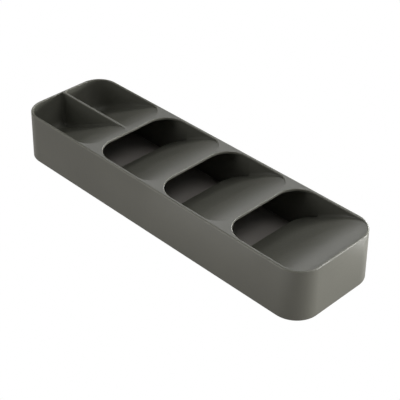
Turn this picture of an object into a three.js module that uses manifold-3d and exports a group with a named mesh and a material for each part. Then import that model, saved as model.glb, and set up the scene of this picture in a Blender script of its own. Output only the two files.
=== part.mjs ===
// Tiered drawer organiser tray: one moulded shell with four sloped wells, a flat floor panel
// let into the underside, and four soft feet.
// Frame: millimetres, +Z up. The origin is the centre of the footprint on the surface the feet
// stand on. +X runs along the length, from the divided well towards the last ramp; front is -Y.
// "Depth" is always measured down from the deck, the tray's top face.
import * as THREE from "three";
import { mergeVertices } from "three/addons/utils/BufferGeometryUtils.js";
import Module from "manifold-3d";

const wasm = await Module();
wasm.setup();

// ---- outer body ---------------------------------------------------------------------------
const LENGTH = 395; // over the outer walls, at their foot
const WIDTH = 112;
const HALF_LENGTH = LENGTH / 2;
const HALF_WIDTH = WIDTH / 2;
const TOP = 56; // deck height
const BOTTOM = 1; // height of the shell's bottom edge; the feet stand out below it
const LEAN = 1.25; // the outer walls lean in by this much from foot to deck
const CORNER = 25.75; // outer plan corner radius
const EDGE_TOP = 1.6; // rounding of the outer top edge
const EDGE_BOTTOM = 0.9; // rounding of the outer bottom edge
const DECK = 2.4; // deck thickness
const WALL_TOP = 2.8; // outer wall thickness under the deck
const WALL_BOTTOM = 3.4; // outer wall thickness above the floor seat
const CORNER_SEGMENTS = 9; // in a quarter turn of a plan corner

// ---- wells --------------------------------------------------------------------------------
// rim: width beside the well at the deck
// lowRadius, highRadius: plan corner radii at the ramp's low and high ends
// slope: ramp fall, mm per mm; crest: radius that turns the ramp into its level top end
// rounding: a rounding at the ramp's side is at most rate * depth - offset
const DIVIDED = {
  divided: true,
  rim: 2.4,
  lowRadius: 22,
  highRadius: 22,
  slope: 0.46,
  crest: 58,
  rounding: { rate: 0.6, offset: 0.3 },
};
const RAMPED = {
  divided: false,
  rim: 3.4,
  lowRadius: 25,
  highRadius: 20,
  slope: 0.525,
  crest: 75,
  rounding: { rate: 0.75, offset: 0.4 },
};
// lowX, highX: the well's ends; apexX: where the straight ramp would reach the deck
// rampEnd: from the well's low end to the ramp's free edge
const WELLS = [
  { lowX: -194.2, highX: -87, apexX: -100.4, ...DIVIDED },
  { lowX: -84, highX: 4.2, apexX: -14.2, rampEnd: 6.5, ...RAMPED },
  { lowX: 6, highX: 94.2, apexX: 77.2, rampEnd: 4, ...RAMPED },
  { lowX: 96.6, highX: 194.1, apexX: 173.6, rampEnd: 6.3, ...RAMPED },
];
const WELL_DRAFT = 0.02; // inward lean of the well walls, mm per mm of depth
const WELL_DEPTH = 60; // the well bodies reach this deep, past the shell's foot
const LINING_START = 30; // the wells with a free-ended ramp are lined from here, off the low end
const LINING = 2.8; // thickness behind a well wall that stands clear of the outer wall

const RAMP = 2.4; // ramp thickness
const LANDING = 0.35; // depth of a ramp's level top end
const CREST_SEGMENTS = 6;
const PAST_HIGH = 6; // ramp profiles run on past the well's high end
const PAST_LOW = 4; // and past its low end
const RAMP_STATIONS = [24, 16, 9, -PAST_LOW]; // from the low end, on the straight of a ramp
const RAMP_END_RADIUS = 14; // plan corner radius of a ramp's free edge
const RAMP_END_DEPTH = 38; // depth at which rampEnd and that radius are taken
const RAMP_END_DRAFT = 0.045; // inward lean of a ramp's free edge, mm per mm
const RAMP_END_GAP = 0.25; // ramp's free end to the line of the well's side walls

const FILLET = 4; // rounding between a ramp and its side walls
const FILLET_MIN = 0.15;
const FILLET_SEGMENTS = 3;
// beside a free-ended ramp it grows to full size over `length`, `start` from the low end
const FADE = { start: 8, length: 14, least: 0.05 };
const OVER = 0.06; // a rounding runs this much of its radius into the wall it ends on
const ABOVE_FILLET = 0.2; // a hollow takes its full width this far above its rounding
const HOLLOW_WALL = 0.8; // outer wall left beside a hollow, at the deck
const CLEAR = 5; // how far cutting bodies stand out past the shell

const FLOOR_DEPTH = 40.2; // the divided well's low end
const FLOOR_OVERCUT = 4; // its hollow runs deeper, so that the shaft's foot forms the floor
const FLOOR_FILLET = 8; // rounding at the foot of its walls
const FLOOR_FILLET_SEGMENTS = 4;
const DIVIDER_TOP = 2.6; // divider thickness at its top
const DIVIDER_FOOT = 4; // and at its foot
const DIVIDER_DROP = 0.4; // divider top below the deck
const DIVIDER_FILLET = 2.5; // rounding at the divider's foot
// the cut over the divider: past the well's low and high ends, and half its width
const DIVIDER_CUT = { pastLow: 5, pastHigh: 7, halfWidth: 4 };

// ---- underside ----------------------------------------------------------------------------
const PANEL_LOW = 3.7; // floor panel, low and high z
const PANEL_HIGH = 5.5;
const SEAT = 5.7; // shoulder that the floor panel is pressed up against
const SKIRT = 1.5; // outer wall thickness beside the floor panel
const GAP = 0.3; // gap between the floor panel and the shell, and around a foot
const PANEL_EDGE = SKIRT + GAP;
const JOINED = 0.2; // how far ribs and bosses run up into the panel

// snap beads: `out` stands in from the skirt, `sunk` runs into it
const BEAD = { out: 0.8, sunk: 0.6, halfLength: 6 };
const BEAD_Z = [PANEL_LOW - 1.05, PANEL_LOW - 0.4];
const BEAD_X = [-130, -43, 43, 130];

const RIM_RIB = { outer: 0.9, inner: 2.3, low: BOTTOM + 0.6 }; // in from the panel's edge
const RIB = { half: 0.7, low: BOTTOM + 0.7, endInset: 4 }; // half: half its thickness
const LONG_RIB_Y = [-18, 18];
const CROSS_RIB_PITCH = 45;
const CROSS_RIBS_EACH_WAY = 3; // either side of the middle one

const FOOT_R = 7;
const FOOT_X = 168;
const FOOT_Y = 36;
const FOOT_SEGMENTS = 28;
const BOSS = { wall: 2, low: BOTTOM + 0.5, socketTop: PANEL_LOW + 0.3 };
const FEET = [
  { name: "foot_divided_end_front", x: -FOOT_X, y: -FOOT_Y },
  { name: "foot_divided_end_back", x: -FOOT_X, y: FOOT_Y },
  { name: "foot_ramp_end_front", x: FOOT_X, y: -FOOT_Y },
  { name: "foot_ramp_end_back", x: FOOT_X, y: FOOT_Y },
];
// [radius, z] from the underside to the top
const FOOT_PROFILE = [
  [0, 0],
  [FOOT_R - 1.1, 0],
  [FOOT_R - 0.35, 0.3],
  [FOOT_R, 0.95],
  [FOOT_R, PANEL_LOW - 0.2],
  [FOOT_R - 0.3, PANEL_LOW],
  [0, PANEL_LOW],
];

// ---- between three.js and manifold --------------------------------------------------------
// A solid from a closed geometry; corners closer than the tolerance become one.
function solid(geometry, tolerance = 1e-4) {
  geometry.deleteAttribute("normal");
  geometry.deleteAttribute("uv");
  const welded = mergeVertices(geometry, tolerance);
  return new wasm.Manifold(
    new wasm.Mesh({
      numProp: 3,
      vertProperties: welded.attributes.position.array,
      triVerts: new Uint32Array(welded.index.array),
    }),
  );
}

function geometryOf(body) {
  const mesh = body.getMesh();
  const positions = new Float32Array(mesh.vertProperties);
  const geometry = new THREE.BufferGeometry();
  geometry.setAttribute("position", new THREE.BufferAttribute(positions, 3));
  geometry.setIndex(new THREE.BufferAttribute(new Uint32Array(mesh.triVerts), 1));
  geometry.computeVertexNormals();
  return geometry;
}

const join = (bodies) => bodies.reduce((a, b) => a.add(b));

// the largest body, without the slivers left where two faces almost meet
const largest = (body) => body.decompose().reduce((a, b) => (a.volume() > b.volume() ? a : b));

// the same solid with corners closer than a micrometre made one
const tidy = (body) => largest(solid(geometryOf(body), 1e-3));

// ---- basic bodies -------------------------------------------------------------------------
const vectors = (pairs) => pairs.map(([a, b]) => new THREE.Vector2(a, b));

// A closed body through matching rings of [x, y, z] points, each counter-clockwise seen from
// the last ring's side. flatten(point) gives the two coordinates that lie in an end cap.
function skin(rings, flatten) {
  const count = rings[0].length;
  const positions = [];
  const triangle = (a, b, c) => positions.push(...a, ...b, ...c);
  for (let k = 0; k + 1 < rings.length; k++) {
    const [ring, next] = [rings[k], rings[k + 1]];
    for (let i = 0; i < count; i++) {
      const j = (i + 1) % count;
      triangle(ring[i], ring[j], next[j]);
      triangle(ring[i], next[j], next[i]);
    }
  }
  const capOf = (ring) => THREE.ShapeUtils.triangulateShape(vectors(ring.map(flatten)), []);
  const first = rings[0];
  const last = rings.at(-1);
  for (const [a, b, c] of capOf(first)) triangle(first[a], first[c], first[b]);
  for (const [a, b, c] of capOf(last)) triangle(last[a], last[b], last[c]);
  const geometry = new THREE.BufferGeometry();
  geometry.setAttribute("position", new THREE.Float32BufferAttribute(positions, 3));
  return solid(geometry);
}

// Through [plan outline, z] at rising heights.
const loft = (levels) =>
  skin(
    levels.map(([outline, z]) => outline.map(([x, y]) => [x, y, z])),
    ([x, y]) => [x, y],
  );

// Through the plan outlines that outlineAt gives at falling depths.
const loftDepths = (outlineAt, depths) => loft(depths.map((d) => [outlineAt(d), TOP - d]));

const extruded = (pairs, depth) =>
  new THREE.ExtrudeGeometry(new THREE.Shape(vectors(pairs)), {
    depth,
    bevelEnabled: false,
    curveSegments: 1,
  });

const slab = (outline, z0, z1) => solid(extruded(outline, z1 - z0).translate(0, 0, z0));

const box = ([x0, x1], [y0, y1], [z0, z1]) =>
  solid(
    new THREE.BoxGeometry(x1 - x0, y1 - y0, z1 - z0).translate(
      (x0 + x1) / 2,
      (y0 + y1) / 2,
      (z0 + z1) / 2,
    ),
  );

const disc = (radius, z0, z1, { x, y }) =>
  solid(
    new THREE.CylinderGeometry(radius, radius, z1 - z0, FOOT_SEGMENTS)
      .rotateX(Math.PI / 2)
      .translate(x, y, (z0 + z1) / 2),
  );

// ---- outlines -----------------------------------------------------------------------------
// Points of a plan corner; quarter 0 runs from +x to +y, and so on counter-clockwise.
function cornerArc(centreX, centreY, radius, quarter) {
  const points = [];
  for (let i = 0; i <= CORNER_SEGMENTS; i++) {
    const angle = ((quarter + i / CORNER_SEGMENTS) * Math.PI) / 2;
    points.push([centreX + radius * Math.cos(angle), centreY + radius * Math.sin(angle)]);
  }
  return points;
}

// A rounded rectangle, counter-clockwise from the +x side, with its own corner radius at each
// end of x.
const roundRect = (x0, x1, y0, y1, highRadius, lowRadius = highRadius) => [
  ...cornerArc(x1 - highRadius, y1 - highRadius, highRadius, 0),
  ...cornerArc(x0 + lowRadius, y1 - lowRadius, lowRadius, 1),
  ...cornerArc(x0 + lowRadius, y0 + lowRadius, lowRadius, 2),
  ...cornerArc(x1 - highRadius, y0 + highRadius, highRadius, 3),
];

// The outline of the shell's foot, moved inwards.
const inset = (d) =>
  roundRect(-HALF_LENGTH + d, HALF_LENGTH - d, -HALF_WIDTH + d, HALF_WIDTH - d, CORNER - d);

// A point on an edge rounding, from the flat (part 0) to the wall (part 1):
// [distance in from the wall, distance off the flat].
function rounded(radius, part) {
  const angle = (part * Math.PI) / 2;
  return [radius * (1 - Math.sin(angle)), radius * (1 - Math.cos(angle))];
}

const halfWidthOf = (well) => HALF_WIDTH - LEAN - well.rim;

// A well's plan outline at a depth, grown outwards by `grow`.
function wellOutline(well, depth, grow = 0) {
  const d = WELL_DRAFT * depth - grow;
  const half = halfWidthOf(well);
  return roundRect(
    well.lowX + d,
    well.highX - d,
    -half + d,
    half - d,
    well.highRadius - d,
    well.lowRadius - d,
  );
}

// The plan outline that a free-ended ramp is trimmed to at a depth: rounded corners at its
// low end, and out into the outer walls past the start of the lining.
function rampTrim(well, depth) {
  const draft = RAMP_END_DRAFT * (depth - RAMP_END_DEPTH);
  const radius = RAMP_END_RADIUS - draft;
  const y = halfWidthOf(well) - WELL_DRAFT * depth - RAMP_END_GAP;
  const centreX = well.lowX + well.rampEnd + draft + radius;
  const pastX = well.highX + 20;
  const liningX = well.lowX + LINING_START;
  return [
    [pastX, HALF_WIDTH],
    [liningX, HALF_WIDTH],
    [liningX, y],
    ...cornerArc(centreX, y - radius, radius, 1),
    ...cornerArc(centreX, -y + radius, radius, 2),
    [liningX, -y],
    [liningX, -HALF_WIDTH],
    [pastX, -HALF_WIDTH],
  ];
}

// ---- ramp side profiles: [x, depth], from the high end to the low end -----------------------
// floorDepth is where a divided well's ramp turns level.
function rampLine({ divided, lowX, highX, apexX, slope, crest }, floorDepth) {
  const angle = Math.atan(slope);
  const bendX = apexX - LANDING / slope; // where the straight ramp meets the landing's level
  const tangent = crest * Math.tan(angle / 2);
  const points = [[highX + PAST_HIGH, LANDING]];
  for (let i = 0; i <= CREST_SEGMENTS; i++) {
    const turn = (angle * i) / CREST_SEGMENTS;
    points.push([
      bendX + tangent - crest * Math.sin(turn),
      LANDING + crest * (1 - Math.cos(turn)),
    ]);
  }
  if (divided) {
    points.push([apexX - floorDepth / slope, floorDepth], [lowX - PAST_LOW, floorDepth]);
  } else {
    for (const station of RAMP_STATIONS) {
      const x = lowX + station;
      points.push([x, (apexX - x) * slope]);
    }
  }
  return points;
}

// The same line, moved down square to itself.
const lowered = (line, by) =>
  line.map(([x, depth], i) => {
    const [xBefore, depthBefore] = line[Math.max(0, i - 1)];
    const [xAfter, depthAfter] = line[Math.min(line.length - 1, i + 1)];
    const dx = xAfter - xBefore;
    const dDepth = depthAfter - depthBefore;
    const length = Math.hypot(dx, dDepth);
    return [x + (dDepth / length) * by, depth - (dx / length) * by];
  });

// The space above a line, right across the width.
function above(line) {
  const profile = [
    [line[0][0], TOP + CLEAR],
    [line.at(-1)[0], TOP + CLEAR],
    ...line.map(([x, depth]) => [x, TOP - depth]).reverse(),
  ];
  const edgeY = HALF_WIDTH + CLEAR;
  return solid(extruded(profile, 2 * edgeY).rotateX(Math.PI / 2).translate(0, edgeY, 0));
}

// ---- hollows above a ramp -----------------------------------------------------------------
// A hollow's side is a function of depth and x that gives
//   endY: where the rounding at the bottom ends, and its radius,
//   nearY: y just above the rounding; topY: y at the top.
const filletAt = (depth, full, { rate, offset }) =>
  Math.max(FILLET_MIN, Math.min(full, rate * depth - offset));

// Along the well's side wall at y > 0 (side 1) or y < 0 (side -1).
const wallSide = (well, side) => (depth, x) => {
  const grown = Math.max(FADE.least, (x - well.lowX - FADE.start) / FADE.length);
  const fade = well.divided ? 1 : Math.min(1, grown);
  const radius = filletAt(depth, FILLET * fade, well.rounding);
  const endY = side * (halfWidthOf(well) - WELL_DRAFT * (depth - radius) + OVER * radius);
  const outY = side * (HALF_WIDTH - LEAN - HOLLOW_WALL);
  return { endY, radius, nearY: outY, topY: outY };
};

// Along the divider's face at y > 0 (side 1) or y < 0 (side -1).
const dividerSide = (well, side) => (depth) => {
  const lean = (DIVIDER_FOOT - DIVIDER_TOP) / 2 / FLOOR_DEPTH;
  const faceY = (d) => side * (DIVIDER_TOP / 2 + lean * d);
  const radius = filletAt(depth, DIVIDER_FILLET, well.rounding);
  return {
    endY: faceY(depth - radius),
    radius,
    nearY: faceY(depth - radius - ABOVE_FILLET),
    topY: faceY(-CLEAR),
  };
};

// The space above a ramp line between two sides, its bottom corners rounded.
function hollow(line, lowSide, highSide) {
  const section = ([x, depth]) => {
    const z = TOP - depth;
    const corner = ({ endY, radius }, direction) => {
      const points = [];
      for (let i = 0; i <= FILLET_SEGMENTS; i++) {
        const [inward, rise] = rounded(radius, i / FILLET_SEGMENTS);
        points.push([x, endY - direction * inward, z + rise]);
      }
      return points; // from the flat to the wall
    };
    const low = lowSide(depth, x);
    const high = highSide(depth, x);
    return [
      ...corner(low, -1).reverse(),
      ...corner(high, 1),
      [x, high.nearY, z + high.radius + ABOVE_FILLET],
      [x, high.topY, TOP + CLEAR],
      [x, low.topY, TOP + CLEAR],
      [x, low.nearY, z + low.radius + ABOVE_FILLET],
    ];
  };
  return skin(line.map(section).reverse(), ([, y, z]) => [y, z]);
}

// All the space above a well's ramp; the divided well has one hollow each side of its divider.
function spaceAboveRamp(well) {
  const line = rampLine(well, FLOOR_DEPTH + FLOOR_OVERCUT);
  if (!well.divided) return hollow(line, wallSide(well, -1), wallSide(well, 1));
  const { pastLow, pastHigh, halfWidth } = DIVIDER_CUT;
  return hollow(line, dividerSide(well, 1), wallSide(well, 1))
    .add(hollow(line, wallSide(well, -1), dividerSide(well, -1)))
    .add(
      box(
        [well.lowX - pastLow, well.highX + pastHigh],
        [-halfWidth, halfWidth],
        [TOP - DIVIDER_DROP, TOP + CLEAR],
      ),
    );
}

// ---- the shell ----------------------------------------------------------------------------
function outerBody() {
  const levels = [];
  for (const part of [0, 1 / 2, 1]) {
    const [inward, rise] = rounded(EDGE_BOTTOM, part);
    levels.push([inset(inward), BOTTOM + rise]);
  }
  for (const part of [1, 2 / 3, 1 / 3, 0]) {
    const [inward, drop] = rounded(EDGE_TOP, part);
    levels.push([inset(LEAN + inward), TOP - drop]);
  }
  return loft(levels);
}

// The space under the deck, wider below the seat where the floor panel sits.
const cavity = () =>
  loft([
    [inset(SKIRT), BOTTOM - 1],
    [inset(SKIRT), SEAT],
  ]).add(
    loft([
      [inset(WALL_BOTTOM), SEAT - 1],
      [inset(LEAN + WALL_TOP), TOP - DECK],
    ]),
  );

// The space inside a well's walls.
function wellShaft(well) {
  const levels = [];
  if (well.divided) {
    // the closed well's floor turns up into its walls
    for (let i = 0; i <= FLOOR_FILLET_SEGMENTS; i++) {
      const [inward, rise] = rounded(FLOOR_FILLET, i / FLOOR_FILLET_SEGMENTS);
      const depth = FLOOR_DEPTH - rise;
      levels.push([wellOutline(well, depth, -inward), TOP - depth]);
    }
  } else {
    levels.push([wellOutline(well, WELL_DEPTH), TOP - WELL_DEPTH]);
  }
  return loft([...levels, [wellOutline(well, -3), TOP + 3]]);
}

// A well's ramp and wall lining, to be added to the shell, and the space to be cut from it.
// Both added bodies are kept within `region`.
function wellBodies(well, region) {
  const aboveUnderside = above(lowered(rampLine(well, FLOOR_DEPTH), RAMP));
  const shaft = wellShaft(well);
  const space = spaceAboveRamp(well);
  const jacket = loftDepths((d) => wellOutline(well, d, LINING), [WELL_DEPTH, 1]);

  let ramp = aboveUnderside.subtract(space).intersect(region);
  if (!well.divided) ramp = ramp.intersect(loftDepths((d) => rampTrim(well, d), [TOP, -1]));
  ramp = ramp.intersect(jacket);

  // well walls above the ramp, with their own thickness where they leave the outer wall
  let lining = jacket.subtract(shaft).intersect(aboveUnderside).intersect(region);
  if (!well.divided) {
    const linedX = [well.lowX + LINING_START, HALF_LENGTH];
    lining = lining.intersect(box(linedX, [-HALF_WIDTH, HALF_WIDTH], [0, TOP]));
  }
  return { ramp, lining, cut: shaft.intersect(space) };
}

// Snap beads under the floor panel, on the inside of the skirt.
function snapBeads() {
  const along = (centre) => [centre - BEAD.halfLength, centre + BEAD.halfLength];
  const through = (side, half) => {
    const face = half - SKIRT;
    return [side * (face - BEAD.out), side * (face + BEAD.sunk)].sort((a, b) => a - b);
  };
  const beads = [];
  for (const side of [-1, 1]) {
    for (const x of BEAD_X) beads.push(box(along(x), through(side, HALF_WIDTH), BEAD_Z));
    beads.push(box(through(side, HALF_LENGTH), along(0), BEAD_Z));
  }
  return join(beads);
}

function trayShell() {
  // just inside the outer body's faces
  const region = loft([
    [inset(1), BOTTOM + 5],
    [inset(LEAN + 1), TOP - 0.01],
  ]);
  let shell = outerBody().subtract(cavity());
  const cuts = [];
  for (const well of WELLS) {
    const { ramp, lining, cut } = wellBodies(well, region);
    shell = shell.add(ramp).add(lining);
    cuts.push(cut);
  }
  shell = largest(shell.subtract(join(cuts)));
  return tidy(tidy(shell.add(snapBeads())));
}

// ---- the floor panel ----------------------------------------------------------------------
function floorPanel() {
  const joinedTop = PANEL_LOW + JOINED;
  const rimRib = slab(inset(PANEL_EDGE + RIM_RIB.outer), RIM_RIB.low, joinedTop).subtract(
    slab(inset(PANEL_EDGE + RIM_RIB.inner), RIM_RIB.low - 1, joinedTop + 1),
  );

  const thickness = (centre) => [centre - RIB.half, centre + RIB.half];
  const run = (half) => [-half + RIB.endInset, half - RIB.endInset];
  const ribZ = [RIB.low, joinedTop];
  const ribs = LONG_RIB_Y.map((y) => box(run(HALF_LENGTH), thickness(y), ribZ));
  for (let i = -CROSS_RIBS_EACH_WAY; i <= CROSS_RIBS_EACH_WAY; i++)
    ribs.push(box(thickness(i * CROSS_RIB_PITCH), run(HALF_WIDTH), ribZ));

  const bosses = FEET.map((foot) => disc(FOOT_R + BOSS.wall, BOSS.low, joinedTop, foot));
  const sockets = FEET.map((foot) => disc(FOOT_R + GAP, BOTTOM - 1, BOSS.socketTop, foot));
  return slab(inset(PANEL_EDGE), PANEL_LOW, PANEL_HIGH)
    .add(rimRib)
    .add(join(ribs))
    .add(join(bosses))
    .subtract(join(sockets));
}

// ---- the feet -----------------------------------------------------------------------------
const footGeometry = () =>
  new THREE.LatheGeometry(vectors(FOOT_PROFILE), FOOT_SEGMENTS).rotateX(Math.PI / 2);

// ---- the scene graph ----------------------------------------------------------------------
const matt = (color, roughness) =>
  new THREE.MeshStandardMaterial({ color, roughness, metalness: 0 });
const shellPlastic = matt(0x5f605a, 0.55);
const panelPlastic = matt(0x5c5c57, 0.6);
const rubber = matt(0x3b3c3a, 0.85);

const root = new THREE.Group();
function put(name, geometry, material, x = 0, y = 0) {
  const mesh = new THREE.Mesh(geometry, material);
  mesh.name = name;
  mesh.position.set(x, y, 0);
  root.add(mesh);
}
put("tray_shell", geometryOf(trayShell()), shellPlastic);
put("floor_panel", geometryOf(floorPanel()), panelPlastic);
for (const { name, x, y } of FEET) put(name, footGeometry(), rubber, x, y);

export default root;
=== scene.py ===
import math
from typing import NamedTuple

import bmesh
import bpy
import numpy as np
from mathutils import Matrix, Vector
from mathutils.geometry import delaunay_2d_cdt


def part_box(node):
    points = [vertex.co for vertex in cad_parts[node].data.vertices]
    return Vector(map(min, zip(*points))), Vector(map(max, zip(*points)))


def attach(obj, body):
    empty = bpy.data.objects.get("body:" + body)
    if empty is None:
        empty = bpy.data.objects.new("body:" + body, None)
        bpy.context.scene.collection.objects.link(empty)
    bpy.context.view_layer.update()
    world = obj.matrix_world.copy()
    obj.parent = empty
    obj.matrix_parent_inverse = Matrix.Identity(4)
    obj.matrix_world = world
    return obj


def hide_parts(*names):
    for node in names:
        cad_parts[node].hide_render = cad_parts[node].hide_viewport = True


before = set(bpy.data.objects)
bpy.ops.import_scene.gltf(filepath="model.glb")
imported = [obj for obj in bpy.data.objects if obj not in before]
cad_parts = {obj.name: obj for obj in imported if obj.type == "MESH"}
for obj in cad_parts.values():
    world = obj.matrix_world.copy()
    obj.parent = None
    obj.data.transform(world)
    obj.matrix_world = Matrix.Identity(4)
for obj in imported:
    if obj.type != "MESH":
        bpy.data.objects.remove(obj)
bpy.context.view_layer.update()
MM = 0.001

# ---- shell sizes ----------------------------------------------------------------------------
box_low, box_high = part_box("tray_shell")
HALF_X = (box_high.x - box_low.x) / 2 / MM
HALF_Y = (box_high.y - box_low.y) / 2 / MM
TOP = box_high.z / MM
BOTTOM = box_low.z / MM
LEAN = 1.25            # how far the outer walls lean in by the top
CORNER_R = 25.75
EDGE_R = 1.6           # rounding of the outer top edge
EDGE_LOW_R = 0.9       # rounding of the outer bottom edge
DECK = 2.4             # deck thickness
WALL_TOP = 2.8         # outer wall thickness under the deck
WALL_BOTTOM = 3.4      # and just above the seat
SEAT_Z = 5.7           # inside step where the thinner skirt begins
SEAT_STEP = 0.001
SKIRT = 1.5            # wall thickness below the seat
MOUTH_BEVEL = 0.3      # bevel inside the skirt's bottom edge

# ---- well sizes -----------------------------------------------------------------------------
DRAFT = 0.02           # inward lean of a well's walls per unit of depth
LANDING = 0.35         # depth of the flat at a ramp's +X end
LIP_R = 0.75           # rounding where a wall meets the deck
FILLET_R = 4.0         # rounding where a wall meets the ramp
OPEN_FILLET_R = 0.25   # the same, near the -X end
SPINE_LOW = 26.0       # inner line of the ramp surface starts this far from the -X end
SPINE_HIGH = 23.0      # and ends this far from the +X end

# The divided well
FLOOR_DEPTH = 40.2
SCOOP_R = 60.0         # curve between floor and ramp
LIP_DIVIDED_R = 1.05
FILLET_DIVIDED_R = 8.0
FILLET_DIVIDER_R = 2.5
DIVIDER_HALF = 1.3     # half thickness at the deck
DIVIDED_DRAFT = 0.017
DIVIDER_LOW_R = 4.2    # plan corners beside the divider, -X and +X end
DIVIDER_HIGH_R = 6.0
DIVIDER_BLEND = 9.0    # width over which the roundings grow away from the divider
SPINE_DIVIDED_Y = 27.0
SPINE_DIVIDED_HIGH = 26.0

# Under the deck
LINING = 2.8           # thickness of the wall around a well
RAMP = 2.4             # thickness of the ramp plate
LINING_START = 30.0    # lining begins this far from a plain well's -X end
END_R = 14.0           # plan corners of a ramp plate's -X end, at END_DEPTH
END_DEPTH = 38.0
END_DRAFT = 0.045      # how the plate's end moves in per unit of depth
END_SIDE_GAP = 0.25
LIMIT_INSET = 1.1      # keeps the linings inside the outer walls


class Well(NamedTuple):
    low_x: float       # opening, -X end
    high_x: float      # opening, +X end
    apex: float        # x where the straight ramp would reach the deck
    end_shift: float   # shift of the ramp plate's end in +X; None where it is not trimmed
    rim: float = 3.4   # deck width beside the opening, at its long sides
    slope: float = 0.525
    crest_r: float = 75.0   # curve between ramp and landing
    low_r: float = 25.0     # plan corners, -X end
    high_r: float = 20.0    # plan corners, +X end

    @property
    def half_y(self):
        """Half the opening width at the deck."""
        return HALF_Y - LEAN - self.rim


DIVIDED = Well(-194.2, -87.0, -100.4, None,
               rim=2.4, slope=0.46, crest_r=58.0, low_r=22.0, high_r=22.0)
WELLS = [
    DIVIDED,
    Well(-84.0, 4.2, -14.2, 6.5),
    Well(6.0, 94.2, 77.2, 4.0),
    Well(96.6, 194.1, 173.6, 6.3),
]


# ---- mesh helpers ---------------------------------------------------------------------------
def merge_close(bm, distance):
    bmesh.ops.remove_doubles(bm, verts=bm.verts, dist=distance)
    bmesh.ops.dissolve_degenerate(bm, edges=bm.edges, dist=distance)


def closed_body(name, verts, faces):
    """A tidy object from points in millimetres."""
    mesh = bpy.data.meshes.new(name)
    mesh.from_pydata([tuple(c * MM for c in v) for v in verts], [], faces)
    mesh.update()
    body = bpy.data.objects.new(name, mesh)
    bpy.context.scene.collection.objects.link(body)
    bm = bmesh.new()
    bm.from_mesh(mesh)
    merge_close(bm, 1e-6)
    bmesh.ops.recalc_face_normals(bm, faces=bm.faces)
    bm.to_mesh(mesh)
    bm.free()
    return body


def filled(ring):
    """Triangles that fill a closed outline, as seen from above."""
    points = [Vector((p[0], p[1])) for p in ring]
    count = len(points)
    edges = [(i, (i + 1) % count) for i in range(count)]
    _, _, faces, origin, _, _ = delaunay_2d_cdt(points, edges, [], 1, 1e-7)
    return [tuple(origin[i][0] for i in f) for f in faces]


def rings_body(name, rings, low_faces=None):
    """A closed body through rings of equal length, the first one lowest."""
    count = len(rings[0])
    verts = [tuple(p) for ring in rings for p in ring]
    faces = []
    for k in range(len(rings) - 1):
        for i in range(count):
            j = (i + 1) % count
            low, high = k * count, (k + 1) * count
            faces.append((low + i, low + j, high + j, high + i))
    for face in low_faces or [range(count)]:
        faces.append(tuple(reversed(face)))
    faces.append(tuple(range((len(rings) - 1) * count, len(rings) * count)))
    return closed_body(name, verts, faces)


def profile_body(name, line, y0, y1):
    """A closed block over a line of (x, z), up to well above the deck."""
    block_top = TOP + 8
    verts = []
    for y in (y0, y1):
        verts += [(x, y, z) for x, z in line]
        verts += [(line[-1][0], y, block_top), (line[0][0], y, block_top)]
    count = len(line) + 2
    faces = [tuple(range(count)), tuple(reversed(range(count, 2 * count)))]
    for i in range(count):
        j = (i + 1) % count
        faces.append((i, i + count, j + count, j))
    return closed_body(name, verts, faces)


def round_rect(x0, x1, y0, y1, radii, step, arc):
    """Counter-clockwise points and their inward normals. The radii are for the corners
    (+x+y, -x+y, -x-y, +x-y); arc is segments per corner, step the spacing on the sides."""
    corners = [
        (x1 - radii[0], y1 - radii[0], radii[0]),
        (x0 + radii[1], y1 - radii[1], radii[1]),
        (x0 + radii[2], y0 + radii[2], radii[2]),
        (x1 - radii[3], y0 + radii[3], radii[3]),
    ]
    points, normals = [], []
    for quarter in range(4):
        cx, cy, r = corners[quarter]
        for i in range(arc + 1):
            a = (quarter + i / arc) * math.pi / 2
            points.append((cx + r * math.cos(a), cy + r * math.sin(a)))
            normals.append((-math.cos(a), -math.sin(a)))
        next_x, next_y, next_r = corners[(quarter + 1) % 4]
        a = (quarter + 1) * math.pi / 2
        from_x, from_y = cx + r * math.cos(a), cy + r * math.sin(a)
        to_x, to_y = next_x + next_r * math.cos(a), next_y + next_r * math.sin(a)
        pieces = max(1, round(math.hypot(to_x - from_x, to_y - from_y) / step))
        for i in range(1, pieces):
            t = i / pieces
            points.append((from_x + (to_x - from_x) * t, from_y + (to_y - from_y) * t))
            normals.append((-math.cos(a), -math.sin(a)))
    return np.array(points), np.array(normals)


def rounding(first, last, count):
    """(inset, drop) of a unit edge rounding, over angles in degrees."""
    angles = [math.radians(b) for b in np.linspace(first, last, count)]
    return [(1 - math.sin(a), 1 - math.cos(a)) for a in angles]


def boolean(body, other, operation):
    """Apply a boolean to body and remove the other object."""
    modifier = body.modifiers.new("cut", "BOOLEAN")
    modifier.operation = operation
    modifier.object = other
    modifier.solver = "MANIFOLD"
    graph = bpy.context.evaluated_depsgraph_get()
    result = bpy.data.meshes.new_from_object(body.evaluated_get(graph))
    body.modifiers.clear()
    old = body.data
    body.data = result
    bpy.data.meshes.remove(old)
    bpy.data.objects.remove(other)


def smooth(t):
    t = np.clip(t, 0, 1)
    return t * t * (3 - 2 * t)


# ---- outer body -----------------------------------------------------------------------------
base_points, base_normals = round_rect(
    -HALF_X, HALF_X, -HALF_Y, HALF_Y, [CORNER_R] * 4, step=4.0, arc=20)


def outer_ring(inset, z):
    return np.c_[base_points + base_normals * inset, np.full(len(base_points), z)]


def make_outer_body():
    rings = []
    for inset, rise in rounding(0, 90, 7):
        rings.append(outer_ring(EDGE_LOW_R * inset, BOTTOM + EDGE_LOW_R * rise))
    low_z, high_z = BOTTOM + EDGE_LOW_R, TOP - EDGE_R
    for z in np.linspace(low_z, high_z, 7)[1:-1]:
        rings.append(outer_ring(LEAN * (z - low_z) / (high_z - low_z), z))
    for inset, drop in rounding(90, 0, 10):
        rings.append(outer_ring(LEAN + EDGE_R * inset, TOP - EDGE_R * drop))
    return rings_body("tray_shell_fine", rings)


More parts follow.
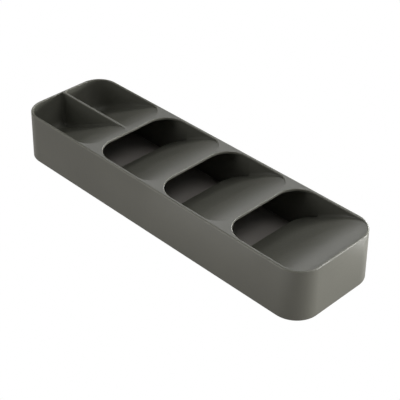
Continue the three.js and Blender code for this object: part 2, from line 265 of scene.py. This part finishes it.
def make_cavity():
    """The hollow below the deck, open at the bottom."""
    return rings_body("cavity", [
        outer_ring(SKIRT - MOUTH_BEVEL, BOTTOM - 2),
        outer_ring(SKIRT - MOUTH_BEVEL, BOTTOM),
        outer_ring(SKIRT, BOTTOM + MOUTH_BEVEL),
        outer_ring(SKIRT, SEAT_Z),
        outer_ring(WALL_BOTTOM, SEAT_Z + SEAT_STEP),
        outer_ring(LEAN + WALL_TOP, TOP - DECK),
    ])


# ---- ramp surface ---------------------------------------------------------------------------
def ramp_depth(well, x):
    """Depth of a well's ramp below the deck at x (array)."""
    x = np.asarray(x, float)
    angle = math.atan(well.slope)
    tangent = well.crest_r * math.tan(angle / 2)
    bend = well.apex - LANDING / well.slope
    flat_x = bend + tangent
    line_x = bend + tangent - well.crest_r * math.sin(angle)
    crest = LANDING + well.crest_r - np.sqrt(
        np.maximum(well.crest_r**2 - (flat_x - x) ** 2, 0))
    depth = np.where(x >= flat_x, LANDING, crest)
    depth = np.where(x <= line_x, (well.apex - x) * well.slope, depth)
    if well is DIVIDED:
        foot = well.apex - FLOOR_DEPTH / well.slope
        low_x = foot - SCOOP_R * math.tan(angle / 2)
        high_x = low_x + SCOOP_R * math.sin(angle)
        scoop = FLOOR_DEPTH - (
            SCOOP_R - np.sqrt(np.maximum(SCOOP_R**2 - (np.maximum(x - low_x, 0)) ** 2, 0)))
        depth = np.where(x < high_x, np.where(x > low_x, scoop, FLOOR_DEPTH), depth)
    return depth


# ---- linings and ramp plates under the deck -------------------------------------------------
def underside_line(well):
    """(x, z) of the ramp plate's lower face, moved down square to the ramp."""
    xs = np.r_[np.linspace(well.low_x - 3, well.low_x + 60, 24),
               np.linspace(well.low_x + 62, well.high_x + 6, 30)]
    depth = ramp_depth(well, xs)
    grade = np.gradient(depth, xs)
    length = np.sqrt(1 + grade * grade)
    return [(x - g / l * RAMP, TOP - d - RAMP / l)
            for x, d, g, l in zip(xs, depth, grade, length)]


def jacket_ring(well, depth):
    """Outside of the lining at a depth."""
    inset = DRAFT * depth - LINING
    radii = [well.high_r, well.low_r, well.low_r, well.high_r]
    points, normals = round_rect(
        well.low_x, well.high_x, -well.half_y, well.half_y, radii, step=4.0, arc=16)
    return np.c_[points + normals * inset, np.full(len(points), TOP - depth)]


def trim_ring(well, depth):
    """Plan of the rounded -X end of the ramp plate, widening to full width at the lining."""
    arc = 16
    inset = END_DRAFT * (depth - END_DEPTH)
    r = END_R - inset
    y = well.half_y - DRAFT * depth - END_SIDE_GAP
    centre_x = well.low_x + well.end_shift + inset + r
    step_x = well.low_x + LINING_START
    far_x = well.high_x + 20
    points = [(far_x, HALF_Y), (step_x, HALF_Y), (step_x, y)]
    for start, centre_y in ((math.pi / 2, y - r), (math.pi, -y + r)):
        for i in range(arc + 1):
            a = start + (i / arc) * math.pi / 2
            points.append((centre_x + r * math.cos(a), centre_y + r * math.sin(a)))
    points += [(step_x, -y), (step_x, -HALF_Y), (far_x, -HALF_Y)]
    return np.array([(px, py, TOP - depth) for px, py in points])


def make_bulk(k, well):
    """The solid a well is later cut from."""
    bulk = profile_body(f"bulk_{k}", underside_line(well), -HALF_Y, HALF_Y)
    jacket = rings_body(f"jacket_{k}", [jacket_ring(well, 60), jacket_ring(well, 0.6)])
    boolean(bulk, jacket, "INTERSECT")
    limit = rings_body(f"limit_{k}", [
        outer_ring(LIMIT_INSET, BOTTOM + 5),
        outer_ring(LEAN + LIMIT_INSET, TOP - 0.3),
    ])
    boolean(bulk, limit, "INTERSECT")
    if well is not DIVIDED:
        trim = rings_body(f"trim_{k}", [trim_ring(well, 58), trim_ring(well, -1)])
        boolean(bulk, trim, "INTERSECT")
        # before the lining starts, only the ramp's own plate is left
        xs = np.linspace(well.low_x - 6, well.low_x + LINING_START, 12)
        line = list(zip(xs, TOP - ramp_depth(well, xs) + 0.006))
        over = profile_body(f"over_{k}", line, -HALF_Y - 1, HALF_Y + 1)
        boolean(bulk, over, "DIFFERENCE")
    return bulk


# ---- well cutters ---------------------------------------------------------------------------
def well_cutter(name, well, points, normals, fillet, lip, draft, spine_high, spine_y):
    """The space of a well: rounded lip, leaning walls, rounded foot and the ramp's surface.
    fillet and lip are radii per outline point. The ramp is filled in to a spine along X at
    spine_y, which ends spine_high short of the +X end."""
    rows = [np.c_[points - normals * lip[:, None], np.full(len(points), TOP + 6.0)]]
    for inset, drop in rounding(0, 90, 7):
        rows.append(np.c_[points - normals * (lip * inset)[:, None], TOP - lip * drop])

    # the foot's place and its depth depend on each other, so they are settled in turns
    foot = points.copy()
    for _ in range(4):
        depth = ramp_depth(well, foot[:, 0])
        foot = points + normals * (draft * np.maximum(depth - fillet, 0))[:, None]
    fillet_top = TOP - ramp_depth(well, foot[:, 0]) + fillet
    for s in (1 / 3, 2 / 3):
        z = (TOP - lip) * (1 - s) + fillet_top * s
        rows.append(np.c_[points + (foot - points) * s, z])

    steps = 9
    for i in range(steps, -1, -1):
        a = math.pi / 2 * i / steps
        xy = foot + normals * (fillet * (1 - math.sin(a)))[:, None]
        z = TOP - ramp_depth(well, xy[:, 0]) + fillet * (1 - math.cos(a))
        rows.append(np.c_[xy, z])

    inner = rows[-1][:, :2]
    spine_x = np.clip(inner[:, 0], well.low_x + SPINE_LOW, well.high_x - spine_high)
    spine = np.c_[spine_x, np.full(len(inner), spine_y)]
    for s in (0.02, 0.12, 0.3, 0.55, 0.75, 0.88):
        xy = inner + (spine - inner) * s
        rows.append(np.c_[xy, TOP - ramp_depth(well, xy[:, 0])])
    rows = rows[::-1]
    return rings_body(name, rows, low_faces=filled(rows[0]))


def plain_cutter(k, well):
    radii = [well.high_r, well.low_r, well.low_r, well.high_r]
    points, normals = round_rect(
        well.low_x, well.high_x, -well.half_y, well.half_y, radii, step=1.6, arc=18)
    depth = ramp_depth(well, points[:, 0])
    lip = np.minimum(LIP_R, 0.55 * depth)
    fillet = np.minimum(FILLET_R, np.maximum(0.5 * (depth - lip), 0.4 * LANDING))
    fillet = np.where(points[:, 0] < well.low_x + LINING_START, OPEN_FILLET_R, fillet)
    return well_cutter(f"well_{k}", well, points, normals, fillet, lip, DRAFT,
                       spine_high=SPINE_HIGH, spine_y=0.0)


def divided_cutter(side):
    """One half of the divided well; side is 1 for +Y and -1 for -Y."""
    well = DIVIDED
    if side > 0:
        y0, y1 = DIVIDER_HALF, well.half_y
        radii = [well.high_r, well.low_r, DIVIDER_LOW_R, DIVIDER_HIGH_R]
    else:
        y0, y1 = -well.half_y, -DIVIDER_HALF
        radii = [DIVIDER_HIGH_R, DIVIDER_LOW_R, well.low_r, well.high_r]
    points, normals = round_rect(well.low_x, well.high_x, y0, y1, radii, step=1.6, arc=16)
    depth = ramp_depth(well, points[:, 0])
    lip = np.minimum(LIP_DIVIDED_R, 0.55 * depth)
    # near the divider the roundings are smaller
    near = 1 - smooth((np.abs(points[:, 1]) - DIVIDER_HALF) / DIVIDER_BLEND)
    lip = lip * (1 - 0.35 * near)
    fillet = FILLET_DIVIDED_R * (1 - near) + FILLET_DIVIDER_R * near
    fillet = np.minimum(fillet, np.maximum(0.45 * (depth - lip), 0.4 * LANDING))
    return well_cutter(f"well_0_{side}", well, points, normals, fillet, lip, DIVIDED_DRAFT,
                       spine_high=SPINE_DIVIDED_HIGH, spine_y=side * SPINE_DIVIDED_Y)


# ---- the shell ------------------------------------------------------------------------------
def shade(body):
    """Smooth faces with sharp creases and even normals."""
    bm = bmesh.new()
    bm.from_mesh(body.data)
    merge_close(bm, 2e-6)
    for face in bm.faces:
        face.smooth = True
    for edge in bm.edges:
        if len(edge.link_faces) == 2:
            edge.smooth = edge.calc_face_angle(0) < math.radians(32)
    bm.to_mesh(body.data)
    bm.free()
    modifier = body.modifiers.new("even_shading", "WEIGHTED_NORMAL")
    modifier.mode = "FACE_AREA"
    modifier.weight = 100
    modifier.keep_sharp = True


shell = make_outer_body()
boolean(shell, make_cavity(), "DIFFERENCE")
for k, well in enumerate(WELLS):
    boolean(shell, make_bulk(k, well), "UNION")
cutters = [divided_cutter(side) for side in (1, -1)]
cutters += [plain_cutter(k, well) for k, well in enumerate(WELLS) if well is not DIVIDED]
for cutter in cutters:
    boolean(shell, cutter, "DIFFERENCE")
shade(shell)

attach(shell, "root")
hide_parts("tray_shell")


# ---- materials ------------------------------------------------------------------------------
def feed(tree, node, inputs):
    """Set a node's inputs: a socket is linked, anything else is a value."""
    for key, value in inputs.items():
        if isinstance(value, bpy.types.NodeSocket):
            tree.links.new(value, node.inputs[key])
        else:
            node.inputs[key].default_value = value


def add_node(tree, kind, inputs=None, **settings):
    node = tree.nodes.new("ShaderNode" + kind)
    for key, value in settings.items():
        setattr(node, key, value)
    feed(tree, node, inputs or {})
    return node


def empty_material(name):
    material = bpy.data.materials.new(name)
    material.use_nodes = True
    material.node_tree.nodes.clear()
    return material, material.node_tree


def multiply(tree, first, second):
    node = add_node(tree, "Math", {0: first, 1: second}, operation="MULTIPLY")
    return node.outputs[0]


def remap(tree, value, source, target):
    """Map value from the source (min, max) to the target (min, max)."""
    return add_node(tree, "MapRange", {
        "Value": value, "From Min": source[0], "From Max": source[1],
        "To Min": target[0], "To Max": target[1]}).outputs[0]


def tone(colour, factor):
    return (*[c * factor for c in colour], 1)


def moulded(name, colour, roughness, grain=1.0, highlight_strength=0.0):
    """Moulded plastic or rubber: grain scales the bump; the last argument sets the painted
    highlight, a paler tint on the rounded edges near the deck.
    """
    material, tree = empty_material(name)
    coords = add_node(tree, "TexCoord").outputs["Object"]

    def noise(scale, detail, rough):
        return add_node(tree, "TexNoise", {
            "Scale": scale, "Detail": detail, "Roughness": rough,
            "Vector": coords}).outputs["Fac"]

    def bump(strength, distance, height, **more):
        return add_node(tree, "Bump", {
            "Strength": strength, "Distance": distance, "Height": height,
            **more}).outputs[0]

    fine = noise(scale=2600, detail=3, rough=0.6)
    middle = noise(scale=420, detail=4, rough=0.55)
    wide = noise(scale=14, detail=3, rough=0.5)

    # slow drift of the colour
    drift = add_node(tree, "ValToRGB", {"Fac": wide})
    dark, light = drift.color_ramp.elements
    dark.position, light.position = 0.3, 0.7
    dark.color, light.color = tone(colour, 0.94), tone(colour, 1.05)

    # painted highlight: the rounded edges near the deck are tinted paler to stand in for
    # bright edge highlights, least on those facing +X
    geometry = add_node(tree, "NewGeometry").outputs
    place = add_node(tree, "SeparateXYZ", {0: geometry["Position"]}).outputs
    facing = add_node(tree, "SeparateXYZ", {0: geometry["Normal"]}).outputs
    high = remap(tree, place["Z"], source=((TOP - 1.9) * MM, (TOP - 0.7) * MM), target=(0, 1))
    tilted = remap(tree, facing["Z"], source=(0.90, 0.975), target=(highlight_strength, 0.0))
    endwise = remap(tree, facing["X"], source=(0.2, 0.7), target=(1.0, 0.22))
    edge = multiply(tree, multiply(tree, high, tilted), endwise)
    highlight_patches = remap(tree, middle, source=(0.3, 0.7), target=(0.8, 1.0))
    # a colour Mix has its factor at input 0, its two colours at 6 and 7, its result at 2
    edge_highlight_mix = add_node(tree, "Mix", data_type="RGBA", blend_type="MIX")
    feed(tree, edge_highlight_mix, {
        0: multiply(tree, edge, highlight_patches), 6: drift.outputs[0], 7: tone(colour, 2.1)})

    uneven = remap(
        tree, middle, source=(0.3, 0.7), target=(roughness - 0.04, roughness + 0.05))
    fine_bump = bump(strength=0.12 * grain, distance=0.00006, height=fine)
    relief = bump(strength=0.10 * grain, distance=0.00015, height=middle, Normal=fine_bump)
    surface = add_node(tree, "BsdfPrincipled", {
        "Base Color": edge_highlight_mix.outputs[2], "Roughness": uneven, "Normal": relief, "IOR": 1.5})
    add_node(tree, "OutputMaterial", {0: surface.outputs[0]})
    return material


def assign(body, material):
    if body.material_slots:
        for slot in body.material_slots:
            slot.material = material
    else:
        body.data.materials.append(material)


# the tray gets the painted edge highlight, a paler tint on its rounded edges near the deck
tray = moulded("tray_plastic", colour=(0.127, 0.127, 0.106), roughness=0.36, highlight_strength=0.9)
# painted light: the floor panel is coloured lighter than the tray's plastic to make up for the
# light that reaches the floor under the wells
floor_painted_light = moulded("floor_plastic", colour=(0.285, 0.268, 0.250), roughness=0.5)
rubber = moulded("foot_rubber", colour=(0.035, 0.036, 0.034), roughness=0.75, grain=1.6)

shell.data.materials.clear()
shell.data.materials.append(tray)
for name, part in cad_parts.items():
    if name == "floor_panel":
        assign(part, floor_painted_light)
    elif name.startswith("foot_"):
        assign(part, rubber)


# ---- ground and backdrop --------------------------------------------------------------------
def ground_material():
    """White to the camera, a warm dim glow as a light, and clear when seen from below."""
    material, tree = empty_material("ground_white")
    seen = add_node(tree, "Emission", {"Strength": 1.0})
    glow = add_node(tree, "Emission", {"Color": (1.0, 0.968, 0.93, 1), "Strength": 0.585})
    to_camera = add_node(tree, "LightPath").outputs["Is Camera Ray"]
    upper = add_node(tree, "MixShader", {0: to_camera, 1: glow.outputs[0], 2: seen.outputs[0]})
    backfacing = add_node(tree, "NewGeometry").outputs["Backfacing"]
    from_below = multiply(tree, to_camera, backfacing)
    clear = add_node(tree, "BsdfTransparent")
    floor = add_node(
        tree, "MixShader", {0: from_below, 1: upper.outputs[0], 2: clear.outputs[0]})
    add_node(tree, "OutputMaterial", {0: floor.outputs[0]})
    return material


def make_ground():
    bm = bmesh.new()
    bmesh.ops.create_grid(bm, x_segments=2, y_segments=2, size=8.0)
    mesh = bpy.data.meshes.new("ground")
    bm.to_mesh(mesh)
    bm.free()
    ground = bpy.data.objects.new("ground", mesh)
    bpy.context.scene.collection.objects.link(ground)
    ground.location.z = -0.0001
    mesh.materials.append(ground_material())
    return ground


def make_world():
    """White to the camera, dim as a light."""
    world = bpy.data.worlds.new("studio")
    bpy.context.scene.world = world
    world.use_nodes = True
    tree = world.node_tree
    dim = tree.nodes["Background"]
    feed(tree, dim, {"Color": (1, 1, 1, 1), "Strength": 0.024})
    to_camera = add_node(tree, "LightPath").outputs["Is Camera Ray"]
    seen = add_node(tree, "Background", {"Color": (1, 1, 1, 1), "Strength": 1.0})
    mix = add_node(tree, "MixShader", {0: to_camera, 1: dim.outputs[0], 2: seen.outputs[0]})
    feed(tree, tree.nodes["World Output"], {0: mix.outputs[0]})


bpy.context.scene.view_settings.view_transform = "Standard"
make_ground()
make_world()

# ---- lights ---------------------------------------------------------------------------------
# Soft boxes aimed at the tray's middle:
# name, azimuth and elevation in degrees, distance, width, height, power
LIGHT_TARGET = Vector((0, 0, 0.03))
SOFT_BOXES = [
    ("key_low", 40, 5, 1.6, 1.3, 0.24, 26.2),
    ("key_right", 20, 58, 1.6, 0.6, 0.5, 5.0),
    ("key_mid", 60, 50, 1.6, 0.6, 0.5, 3.3),
    ("right_mid", 5, 40, 1.6, 0.8, 0.6, 0.8),
    ("far_low", 95, 8, 1.6, 0.5, 0.35, 12.4),
    ("back_mid", 135, 40, 1.8, 1.0, 0.6, 5.9),
    ("far_back", 110, 34, 1.7, 0.7, 0.5, 0.6),
    ("front_left", 238, 34, 1.6, 0.8, 0.6, 1.9),
    ("front_left_low", 242, 12, 1.6, 0.9, 0.4, 3.2),
    ("front_high", 265, 66, 1.6, 0.7, 0.5, 1.4),
]
# Cards just above the ground that throw light up at the tray's sides:
# name, x, y, width, depth, power
CARD_Z = 0.002
CARDS = [
    ("card_front", 0.03, -0.2, 0.14, 0.2, 0.055),
    ("card_corner", 0.17, -0.22, 0.12, 0.22, 0.045),
    ("card_right", 0.33, 0.19, 0.2, 0.22, 0.56),
]


def area_light(name, location, width, height, power):
    light = bpy.data.lights.new(name, "AREA")
    light.shape = "RECTANGLE"
    light.size, light.size_y = width, height
    light.energy = power
    lamp = bpy.data.objects.new(name, light)
    lamp.location = location
    lamp.visible_camera = False
    bpy.context.scene.collection.objects.link(lamp)
    return lamp


for name, azimuth, elevation, distance, width, height, power in SOFT_BOXES:
    a, e = math.radians(azimuth), math.radians(elevation)
    toward = Vector((math.cos(e) * math.cos(a), math.cos(e) * math.sin(a), math.sin(e)))
    location = LIGHT_TARGET + toward * distance
    lamp = area_light(name, location, width, height, power)
    lamp.rotation_mode = "QUATERNION"
    lamp.rotation_quaternion = (LIGHT_TARGET - location).to_track_quat("-Z", "Y")

for name, x, y, width, depth, power in CARDS:
    lamp = area_light(name, (x, y, CARD_Z), width, depth, power)
    lamp.rotation_euler = (math.pi, 0, 0)

# ---- camera ---------------------------------------------------------------------------------
CAMERA_AT = Vector((0.6401338, -0.6192304, 0.6482781))
CAMERA_ANGLES = (45.1261, 35.5709, 0.6171)  # degrees: azimuth from -Y to +X, elevation, roll
SENSOR_WIDTH = 36.0    # mm
LENS = 97.696665       # mm
CLIP = (0.05, 50)


def make_camera():
    data = bpy.data.cameras.new("camera")
    camera = bpy.data.objects.new("camera", data)
    bpy.context.scene.collection.objects.link(camera)
    bpy.context.scene.camera = camera
    data.sensor_width = SENSOR_WIDTH
    data.lens = LENS
    data.clip_start, data.clip_end = CLIP
    az, el, roll = (math.radians(v) for v in CAMERA_ANGLES)
    back = Vector((math.sin(az) * math.cos(el), -math.cos(az) * math.cos(el), math.sin(el)))
    right = (-back).cross(Vector((0, 0, 1))).normalized()
    up = right.cross(-back)
    right, up = (right * math.cos(roll) + up * math.sin(roll),
                 -right * math.sin(roll) + up * math.cos(roll))
    pose = Matrix((right, up, back)).transposed().to_4x4()
    pose.translation = CAMERA_AT
    camera.matrix_world = pose


make_camera()

bpy.context.view_layer.update()
